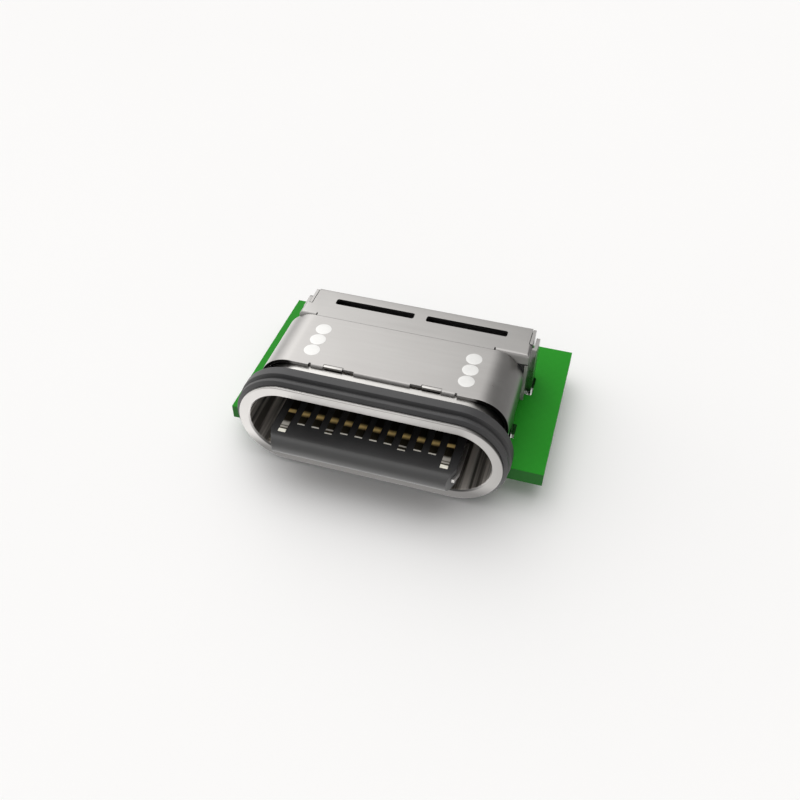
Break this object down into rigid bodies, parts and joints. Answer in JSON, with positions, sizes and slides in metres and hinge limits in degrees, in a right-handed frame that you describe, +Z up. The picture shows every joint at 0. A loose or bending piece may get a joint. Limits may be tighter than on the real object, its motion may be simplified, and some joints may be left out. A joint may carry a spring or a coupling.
{
  "type": "sealed reversible plug socket",
  "caption": "Board-mounted receptacle for a flat reversible plug: oval steel mouth with a rubber seal, contact tongue, folded cover and rear shell, on a cut-out board.",
  "frame": {"origin": "middle of the mouth at the rim's front face", "axes": "+X along the mouth, +Y into the socket, +Z up from the board"},
  "size_m": [0.0111, 0.0085, 0.0038],
  "materials": {
    "shell_steel": "satin drawn steel",
    "cover_steel": "satin rolled sheet",
    "seal_rubber": "matte moulded silicone",
    "black_moulding": "fine moulded texture",
    "gold_plate": "thin gold plating, satin",
    "resin": "poured, slightly glossy",
    "board_green": "solder mask over glass laminate"
  },
  "bodies": {
    "root": {"mouth_shell": "shell_steel", "seal_ring": "seal_rubber", "cover_bracket": "cover_steel", "rear_shell": "cover_steel", "tongue_moulding": "black_moulding", "middle_plate": "shell_steel", "upper_ground_pad": "shell_steel", "lower_ground_pad": "shell_steel", "sealing_resin": "resin", "circuit_board": "board_green", "upper_contact_01": "gold_plate", "upper_contact_02": "gold_plate", "upper_contact_03": "gold_plate", "upper_contact_04": "gold_plate", "upper_contact_05": "gold_plate", "upper_contact_06": "gold_plate", "upper_contact_07": "gold_plate", "upper_contact_08": "gold_plate", "upper_contact_09": "gold_plate", "upper_contact_10": "gold_plate", "upper_contact_11": "gold_plate", "upper_contact_12": "gold_plate", "lower_contact_01": "gold_plate", "lower_contact_02": "gold_plate", "lower_contact_03": "gold_plate", "lower_contact_04": "gold_plate", "lower_contact_05": "gold_plate", "lower_contact_06": "gold_plate", "lower_contact_07": "gold_plate", "lower_contact_08": "gold_plate", "lower_contact_09": "gold_plate", "lower_contact_10": "gold_plate", "lower_contact_11": "gold_plate", "lower_contact_12": "gold_plate"}
  },
  "joints": []
}
